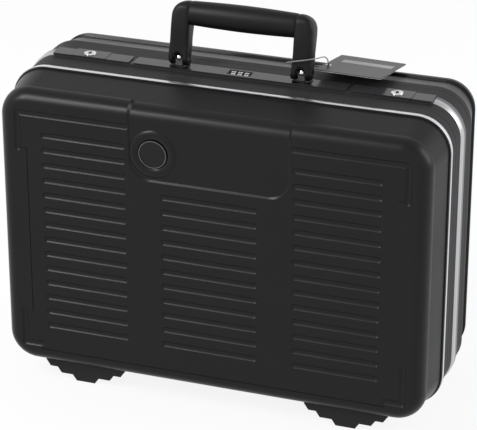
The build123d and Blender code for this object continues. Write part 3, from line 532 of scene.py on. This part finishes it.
# Thin plaited cord is pale and slightly glossy. Its plaits, about 0.5 mm long, are drawn
# near 1 mm. Painted shade darkens each plait towards its edges, in the creases between plaits.
plaitedCord = {
    "colour": "#a3a3a1", "creaseShade": "#5f5f5e", "roughness": 0.5, "sheen": 0.3,
    "plait": 1.0, "plaitDepth": 0.15,
}


def makePlaitedCord(name, look):
    material, tree, place = newMaterial(name)
    plaits = addNode(tree, "ShaderNodeTexVoronoi", {
        "Scale": patternScale(look["plait"]),
    }, {"Vector": place})
    # painted shade: darker towards each plait's edge, in the creases between plaits
    tone = addNode(tree, "ShaderNodeMix", {
        "data_type": "RGBA",
        colourA: linearColour(look["colour"]), colourB: linearColour(look["creaseShade"]),
    }, {"Factor": plaits.outputs["Distance"]})
    bump = addNode(tree, "ShaderNodeBump", {
        "Strength": 0.8, "Distance": mm(look["plaitDepth"]), "invert": True,
    }, {"Height": plaits.outputs["Distance"]})
    shader = addNode(tree, "ShaderNodeBsdfPrincipled", {
        "Roughness": look["roughness"], "Sheen Weight": look["sheen"],
    }, {"Base Color": tone.outputs[colourOut], "Normal": bump.outputs["Normal"]})
    return finishMaterial(material, tree, shader)


# the finish of each of the record's slots, and the nodes that have a finish of their own
finishes = {
    "shell": makeMouldedAbs("mouldedAbs", mouldedAbs),
    "foot": makeMouldedAbs("mouldedAbsFoot", footAbs),
    "frame": makeExtrudedAluminium("blackAnodisedAluminium", blackAnodised),
    "trim": makeExtrudedAluminium("brightAnodisedAluminium", brightAnodised),
    "console": makePolishedPlastic("polishedAbs", consoleAbs),
    "handle": makePolishedPlastic("polishedVinyl", handleVinyl),
    "badge": makePolishedPlastic("badgeEnamel", badgeEnamel),
    "cradle": makePolishedPlastic("blackAcetal", blackAcetal),
    "bright_metal": makePlatedMetal("chromePlate", chromePlate),
    "plated_steel": makePlatedMetal("zincPlate", zincPlate),
    "wheel": makeAcetal("whiteAcetal", whiteAcetal),
    "card": makeCoatedCard("coatedCard", swingTag),
    "string": makePlaitedCord("plaitedCord", plaitedCord),
}
lugMetal = makeLugMetal("polishedSteelWithShadedBase", handleLug)
keyMetal = makeKeyMetal("turnedChrome", keyBarrel)
ownFinishes = {
    "handle_lug_left": lugMetal,
    "handle_lug_right": lugMetal,
    "key_cylinder_left": keyMetal,
    "key_cylinder_right": keyMetal,
    "console_bed": makePolishedPlastic("satinAbs", bedAbs),
    "console_cover": makePolishedPlastic("polishedAbsCover", coverAbs),
    "lid_bead": makeExtrudedAluminium("beadAluminium", beadAnodised),
    "badge_ring": makePlatedMetal("darkChromePlate", darkChrome),
}
slotOf = {part["node"]: part["material_slot"] for part in frame["record"]["subparts"]}
for nodeName, piece in nodes.items():
    piece.data.materials.clear()
    piece.data.materials.append(ownFinishes.get(nodeName, finishes[slotOf[nodeName]]))
print("stage: finishes laid on", len(nodes), "nodes")

# The camera stands off its pivot by these lengths in mm, turned by these angles in degrees.
# The lens and the sensor are in mm too.
view = {
    "pivot": (0, -91, 37), "azimuth": 19.2956, "elevation": 25.0750, "roll": -0.0073,
    "across": 29.384, "up": 161.418, "distance": 2362.978, "lens": 179.31019, "sensor": 36,
}


def placeCamera(look):
    azimuth, elevation, roll = (
        math.radians(look[angle]) for angle in ("azimuth", "elevation", "roll"))
    right = Vector((math.cos(azimuth), math.sin(azimuth), 0))
    away = Vector((math.sin(azimuth), -math.cos(azimuth), 0))
    back = math.cos(elevation) * away + Vector((0, 0, math.sin(elevation)))
    up = back.cross(right)
    tiltedRight = math.cos(roll) * right + math.sin(roll) * up
    tiltedUp = math.cos(roll) * up - math.sin(roll) * right
    distance, across, rise = mm(look["distance"], look["across"], look["up"])
    spot = Vector(mm(*look["pivot"])) + distance * back + across * tiltedRight + rise * tiltedUp
    turn = Matrix((tiltedRight, tiltedUp, back)).transposed().to_4x4()
    data = bpy.data.cameras.new("studioCamera")
    data.sensor_width = look["sensor"]
    data.lens = look["lens"]
    camera = bpy.data.objects.new("studioCamera", data)
    bpy.context.scene.collection.objects.link(camera)
    camera.matrix_world = Matrix.Translation(spot) @ turn
    bpy.context.scene.camera = camera


placeCamera(view)
print("stage: camera placed")

# The handle's mouldings run into each other in soft blends, so each is remeshed and
# smoothed. Below keepBelow, at the forks, the least share of the smoothing acts, and from
# fullFrom up all of it.
softBow = {
    "merge": 0.002, "voxel": 1.1, "rounds": 60, "factor": 0.5, "stretch": 1.0,
    "keepBelow": 343.0, "fullFrom": 353.0, "least": 0.12,
}
softGrip = dict(softBow, rounds=16, stretch=1.045)  # its ends run on inside the shoulders


def softenMoulding(nodeName, pieceName, look):
    bpy.ops.object.select_all(action="DESELECT")
    piece = bpy.data.objects.new(pieceName, nodes[nodeName].data.copy())
    bpy.context.scene.collection.objects.link(piece)
    piece.select_set(True)
    bpy.context.view_layer.objects.active = piece
    bpy.ops.object.mode_set(mode="EDIT")
    bpy.ops.mesh.select_all(action="SELECT")
    bpy.ops.mesh.remove_doubles(threshold=mm(look["merge"]))
    bpy.ops.transform.resize(value=(look["stretch"], 1, 1), center_override=(0, 0, 0))
    bpy.ops.object.mode_set(mode="OBJECT")
    remesh = piece.modifiers.new("evenSkin", "REMESH")
    remesh.mode = "VOXEL"
    remesh.voxel_size = mm(look["voxel"])
    bpy.ops.object.modifier_apply(modifier=remesh.name)
    group = piece.vertex_groups.new(name="soft")
    low, high = mm(look["keepBelow"], look["fullFrom"])
    for vertex in piece.data.vertices:
        share = min(1.0, max(look["least"], (vertex.co.z - low) / (high - low)))
        group.add([vertex.index], share, "REPLACE")
    smooth = piece.modifiers.new("softBlends", "SMOOTH")
    smooth.factor = look["factor"]
    smooth.iterations = look["rounds"]
    smooth.vertex_group = group.name
    bpy.ops.object.modifier_apply(modifier=smooth.name)
    bpy.ops.object.shade_smooth()
    piece.data.materials.clear()
    piece.data.materials.append(finishes["handle"])
    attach(piece, "handle")
    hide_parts(nodeName)


softenMoulding("handle_bow", "handleBow", softBow)
softenMoulding("handle_grip", "handleGrip", softGrip)
print("stage: handle softened")


def copyPiece(original, name, shift):  # the copy has a mesh of its own
    piece = bpy.data.objects.new(name, original.data.copy())
    piece.data.transform(Matrix.Translation(shift))
    bpy.context.scene.collection.objects.link(piece)
    return piece


# Black figures are printed on the wheels' lands. One ring of them is made about the X axis,
# and each wheel gets a copy. The ink wears to a slightly uneven sheen.
printedFigures = {
    "figures": "0123456789", "letterSize": 2.0, "thick": 0.1, "curveSteps": 3,
    "reach": 5.37, "colour": "#1d1d1e", "roughness": (0.4, 0.6), "wearSize": 2 / 3,
}


def makePrintedInk(name, look):
    material, tree, place = newMaterial(name)
    wear = addNode(tree, "ShaderNodeTexNoise", {
        "Scale": patternScale(look["wearSize"]), "Detail": 3.0,
    }, {"Vector": place})
    gloss = addNode(tree, "ShaderNodeMapRange", {
        "To Min": look["roughness"][0], "To Max": look["roughness"][1],
    }, {"Value": wear.outputs["Fac"]})
    shader = addNode(tree, "ShaderNodeBsdfPrincipled", {
        "Base Color": linearColour(look["colour"]),
    }, {"Roughness": gloss.outputs["Result"]})
    return finishMaterial(material, tree, shader)


def makeFigureRing(look):
    bpy.ops.object.select_all(action="DESELECT")
    figures = []
    for order, character in enumerate(look["figures"]):
        bpy.ops.object.text_add(location=(0, 0, 0))
        figure = bpy.context.object
        figure.data.body = character
        figure.data.align_x = "CENTER"
        figure.data.align_y = "CENTER"
        figure.data.size = mm(look["letterSize"])
        figure.data.extrude = mm(look["thick"]) / 2
        figure.data.resolution_u = look["curveSteps"]
        bpy.ops.object.convert(target="MESH")
        outwards = Matrix.Translation((0, 0, mm(look["reach"])))
        around = Matrix.Rotation(math.radians(360 * order / len(look["figures"])), 4, "X")
        figure.data.transform(around @ outwards)
        figures.append(figure)
    for figure in figures:
        figure.select_set(True)
    bpy.ops.object.join()
    ring = bpy.context.object
    ring.data.materials.clear()
    ring.data.materials.append(makePrintedInk("printedInk", look))
    return ring


figureRing = makeFigureRing(printedFigures)
for wheel in (1, 2, 3):
    piece = copyPiece(figureRing, f"wheelFigures{wheel}", turnsAt[f"wheel_{wheel}_turn"])
    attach(piece, f"wheel_{wheel}")
bpy.data.objects.remove(figureRing)
print("stage: figures printed")

# Each hinge leaf has three rivets, whose domed heads hang under it. One head is modelled
# and the others are its copies. The base's leaves lie behind the hinge pins, and the lid's
# in front of them.
rivetHead = {
    "radius": 2.4, "rise": 1.0, "sides": 24, "dome": 0.8, "domeSteps": 4, "smoothBelow": 40,
    "alongStep": 17, "awayFromPin": 11.3, "leafThick": 1.5,
}


def makeRivetHead(look):
    bpy.ops.object.select_all(action="DESELECT")
    bpy.ops.mesh.primitive_cylinder_add(
        vertices=look["sides"], radius=mm(look["radius"]), depth=mm(look["rise"]))
    head = bpy.context.object
    bpy.ops.object.mode_set(mode="EDIT")
    bpy.ops.mesh.select_all(action="DESELECT")
    bpy.ops.object.mode_set(mode="OBJECT")
    lowest = min(head.data.polygons, key=lambda face: face.center.z)
    lowest.select = True
    bpy.ops.object.mode_set(mode="EDIT")
    bpy.ops.mesh.bevel(offset=mm(look["dome"]), segments=look["domeSteps"])
    bpy.ops.object.mode_set(mode="OBJECT")
    return head


def setRivets(head, body, side, look):
    bpy.ops.object.select_all(action="DESELECT")
    across = turnsAt["lid_hinge"][1] + side * mm(look["awayFromPin"])
    for hand in ("left", "right"):
        low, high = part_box(f"{body}_hinge_leaf_{hand}")
        middle, underside = (low[0] + high[0]) / 2, high[2] - mm(look["leafThick"])
        for step in (-1, 0, 1):
            spot = (middle + step * mm(look["alongStep"]), across, underside)
            rivet = copyPiece(head, "rivet", spot)
            rivet.select_set(True)
    bpy.context.view_layer.objects.active = rivet
    bpy.ops.object.join()
    rivet.name = f"{body}HingeRivets"
    bpy.ops.object.shade_smooth_by_angle(angle=math.radians(look["smoothBelow"]))
    rivet.data.materials.clear()
    rivet.data.materials.append(finishes["plated_steel"])
    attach(rivet, body)


oneHead = makeRivetHead(rivetHead)
setRivets(oneHead, "base", 1, rivetHead)
setRivets(oneHead, "lid", -1, rivetHead)
bpy.data.objects.remove(oneHead)
print("stage: rivets set")

# The tag's string leaves the eyelet, goes round the handle's right leg and comes back. Its
# control points are those of the CAD tube's route, in mm.
tagString = {
    "diameter": 1.2,
    "length": 150.7,
    "route": [
        (79.07, 36.74, 331.86),
        (79.07, 37.74, 335.63),
        (80.09, 32.16, 341.06),
        (80.30, 20.72, 348.19),
        (79.50, -3.58, 354.08),
        (47.10, -5.11, 346.83),
        (47.10, 18.34, 336.61),
        (79.70, 19.02, 337.98),
        (81.29, 30.86, 338.51),
        (80.31, 37.64, 335.24),
        (80.31, 36.74, 331.86),
    ],
}


def makeTagString(look):
    curve = bpy.data.curves.new("tagString", "CURVE")
    curve.dimensions = "3D"
    spline = curve.splines.new("NURBS")
    spline.points.add(len(look["route"]) - 1)
    for point, place in zip(spline.points, look["route"]):
        point.co = mm(*place) + (1.0,)
    spline.order_u = 3
    spline.use_endpoint_u = True
    spline.resolution_u = 12
    curve.bevel_depth = mm(look["diameter"]) / 2
    curve.bevel_resolution = 3
    curve.use_fill_caps = True
    curve.materials.append(finishes["string"])
    string = bpy.data.objects.new("tagString", curve)
    bpy.context.scene.collection.objects.link(string)
    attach(string, "handle")
    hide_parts("tag_string")


makeTagString(tagString)
print("stage: tag string laid")


def sortRays(tree):  # what the camera sees, and what shows in metal and glass
    rays = addNode(tree, "ShaderNodeLightPath")
    mirrored = addNode(tree, "ShaderNodeMath", {
        "operation": "MAXIMUM",
    }, {firstIn: rays.outputs["Is Glossy Ray"], secondIn: rays.outputs["Is Transmission Ray"]})
    return rays.outputs["Is Camera Ray"], mirrored.outputs[0]


# The world is white to the camera. To the object it is a white sweep under a dim ceiling,
# dimmer in front, and glossy finishes mirror a brighter ceiling. The sweep and the front
# edge are heights and depths on the unit sphere of directions.
studio = {
    "sweepTop": (0.40, 0.72), "ceiling": 0.38, "mirroredCeiling": 0.72,
    "frontEdge": (-0.9, 0.1), "front": 0.45,
}


def makeStudioWorld(name, look):
    world = bpy.data.worlds.new(name)
    world.use_nodes = True
    bpy.context.scene.world = world
    tree = world.node_tree
    tree.nodes.clear()
    direction = addNode(tree, "ShaderNodeTexCoord").outputs["Generated"]
    heading = addNode(tree, "ShaderNodeSeparateXYZ", links={"Vector": direction})
    height, mirroredHeight = (
        addNode(tree, "ShaderNodeMapRange", {
            "interpolation_type": "SMOOTHSTEP",
            "From Min": look["sweepTop"][0], "From Max": look["sweepTop"][1],
            "To Min": 1.0, "To Max": ceiling,
        }, {"Value": heading.outputs["Z"]})
        for ceiling in (look["ceiling"], look["mirroredCeiling"]))
    depth = addNode(tree, "ShaderNodeMapRange", {
        "From Min": look["frontEdge"][0], "From Max": look["frontEdge"][1],
        "To Min": look["front"], "To Max": 1.0,
    }, {"Value": heading.outputs["Y"]})
    soft = addNode(tree, "ShaderNodeMath", {
        "operation": "MULTIPLY",
    }, {firstIn: height.outputs["Result"], secondIn: depth.outputs["Result"]})
    seen, mirrored = sortRays(tree)
    sweep = addNode(tree, "ShaderNodeMix", {
        "data_type": "FLOAT",
    }, {"Factor": mirrored, numberA: soft.outputs[0], numberB: mirroredHeight.outputs["Result"]})
    strength = addNode(tree, "ShaderNodeMix", {
        "data_type": "FLOAT", numberB: 1.0,
    }, {"Factor": seen, numberA: sweep.outputs[0]})
    light = addNode(tree, "ShaderNodeBackground", {
        "Color": (1, 1, 1, 1),
    }, {"Strength": strength.outputs[0]})
    addNode(tree, "ShaderNodeOutputWorld", links={"Surface": light.outputs[0]})


makeStudioWorld("studioWorld", studio)

# The floor is matt pale paper, in metres. It glows where it is seen or mirrored, so that it
# runs into the world, and what is left of its own shading keeps the object's shadow.
paperFloor = {
    "size": 9, "height": -0.0005, "colour": "#cdcdcd", "seenColour": "#ffffff", "glow": 0.88,
}


def makeFloorPaper(name, look):
    material, tree, _ = newMaterial(name)
    seen, mirrored = sortRays(tree)
    paper = addNode(tree, "ShaderNodeMix", {
        "data_type": "RGBA",
        colourA: linearColour(look["colour"]), colourB: linearColour(look["seenColour"]),
    }, {"Factor": seen})
    matt = addNode(tree, "ShaderNodeBsdfDiffuse", links={"Color": paper.outputs[colourOut]})
    glow = addNode(tree, "ShaderNodeEmission", {"Color": (1, 1, 1, 1), "Strength": 1.0})
    background = addNode(tree, "ShaderNodeMath", {
        "operation": "MAXIMUM",
    }, {firstIn: mirrored, secondIn: seen})
    glowShare = addNode(tree, "ShaderNodeMath", {
        "operation": "MULTIPLY", secondIn: look["glow"],
    }, {firstIn: background.outputs[0]})
    mixed = addNode(tree, "ShaderNodeMixShader", links={
        "Fac": glowShare.outputs[0], shaderA: matt.outputs[0], shaderB: glow.outputs[0]})
    return finishMaterial(material, tree, mixed)


bpy.ops.object.select_all(action="DESELECT")
bpy.ops.mesh.primitive_plane_add(
    size=paperFloor["size"], location=(0, 0, paperFloor["height"]))
floor = bpy.context.object
floor.name = "floor"
floor.data.materials.append(makeFloorPaper("paperFloor", paperFloor))

# soft boxes, in metres, that all point at one spot inside the case
lamps = {
    "keyLamp": {"place": (-1.25, -1.45, 1.85), "size": (0.5, 1.4), "watts": 45},
    "sideLamp": {"place": (1.9, 0.5, 1.1), "size": (0.9, 1.6), "watts": 22},
}
lampTarget = Vector((0, 0, 0.2))


def addLamp(name, look):
    data = bpy.data.lights.new(name, "AREA")
    data.shape = "RECTANGLE"
    data.size, data.size_y = look["size"]
    data.energy = look["watts"]
    lamp = bpy.data.objects.new(name, data)
    bpy.context.scene.collection.objects.link(lamp)
    aim = lampTarget - Vector(look["place"])
    turn = aim.to_track_quat("-Z", "Y").to_matrix().to_4x4()
    lamp.matrix_world = Matrix.Translation(look["place"]) @ turn


for lampName, look in lamps.items():
    addLamp(lampName, look)
bpy.context.scene.view_settings.view_transform = "Standard"
print("stage: studio ready")
